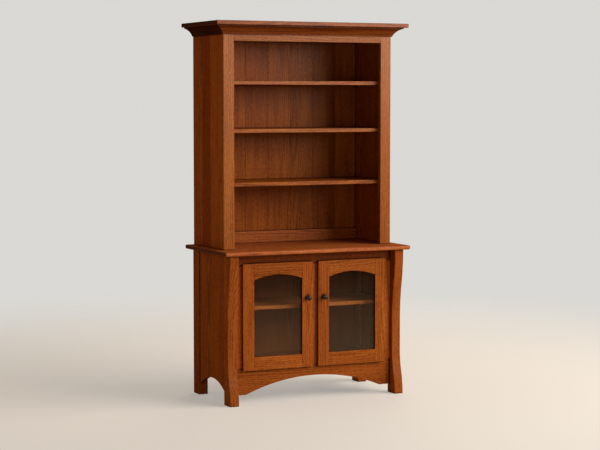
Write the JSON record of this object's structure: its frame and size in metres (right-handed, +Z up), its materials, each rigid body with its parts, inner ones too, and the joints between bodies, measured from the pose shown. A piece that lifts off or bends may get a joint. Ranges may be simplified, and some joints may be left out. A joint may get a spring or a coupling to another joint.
{
  "type": "hutch bookcase",
  "caption": "Wooden hutch bookcase: open adjustable shelves under a coved crown, on a base cabinet with hinged glazed doors, scooped legs and an arched apron.",
  "frame": {"origin": "centre of the footprint on the floor, under the middle of the overall box", "axes": "+X to the right as seen from the front, +Y towards the back, +Z up; the doors face -Y"},
  "size_m": [1.054, 0.536, 1.89],
  "materials": {
    "stained_wood": "reddish-brown stain under a satin lacquer, open grain",
    "plain_wood": "bare hardwood",
    "glass": "clear float glass",
    "dark_bronze": "oil-rubbed dark bronze, satin",
    "steel": "zinc-plated steel",
    "catch_plastic": "moulded brown plastic",
    "bumper_rubber": "soft translucent rubber"
  },
  "bodies": {
    "carcass": {"base_apron": "stained_wood", "base_back_panel": "stained_wood", "base_back_rails": "stained_wood", "base_centre_stile": "stained_wood", "base_floor": "stained_wood", "base_front_leg_left": "stained_wood", "base_front_leg_right": "stained_wood", "base_rear_leg_left": "stained_wood", "base_rear_leg_right": "stained_wood", "base_shelf": "stained_wood", "base_side_panel_left": "stained_wood", "base_side_panel_right": "stained_wood", "base_stile_left": "stained_wood", "base_stile_right": "stained_wood", "base_top_rail": "stained_wood", "carcass_screws": "steel", "counter_cleats": "plain_wood", "countertop": "stained_wood", "crown_corner_blocks": "plain_wood", "crown_moulding_front": "stained_wood", "crown_moulding_left": "stained_wood", "crown_moulding_right": "stained_wood", "crown_top_board": "stained_wood", "door_bumpers": "bumper_rubber", "hinge_frame_leaves": "steel", "hutch_back_boards": "stained_wood", "hutch_back_bottom_rail": "stained_wood", "hutch_case_top": "stained_wood", "hutch_locating_dowels": "plain_wood", "hutch_shelf_lower": "stained_wood", "hutch_shelf_middle": "stained_wood", "hutch_shelf_upper": "stained_wood", "hutch_side_left": "stained_wood", "hutch_side_right": "stained_wood", "hutch_stile_left": "stained_wood", "hutch_stile_right": "stained_wood", "hutch_tie_plates": "steel", "hutch_top_rail": "stained_wood", "magnetic_catches": "catch_plastic", "shelf_pins": "steel"},
    "left_door": {"left_door_bottom_rail": "stained_wood", "left_door_glass": "glass", "left_door_glass_stops": "stained_wood", "left_door_hinge_leaves": "steel", "left_door_hinge_stile": "stained_wood", "left_door_knob": "dark_bronze", "left_door_latch_stile": "stained_wood", "left_door_screws": "steel", "left_door_strike_plate": "steel", "left_door_top_rail": "stained_wood"},
    "right_door": {"right_door_bottom_rail": "stained_wood", "right_door_glass": "glass", "right_door_glass_stops": "stained_wood", "right_door_hinge_leaves": "steel", "right_door_hinge_stile": "stained_wood", "right_door_knob": "dark_bronze", "right_door_latch_stile": "stained_wood", "right_door_screws": "steel", "right_door_strike_plate": "steel", "right_door_top_rail": "stained_wood"}
  },
  "joints": [
    {"name": "left_door_hinge", "type": "hinge", "parent": "carcass", "child": "left_door", "pos_m": [-0.392, -0.2025, 0.432], "axis": [0, 0, -1], "range_deg": [0, 110]},
    {"name": "right_door_hinge", "type": "hinge", "parent": "carcass", "child": "right_door", "pos_m": [0.392, -0.2025, 0.432], "axis": [0, 0, 1], "range_deg": [0, 110]}
  ]
}
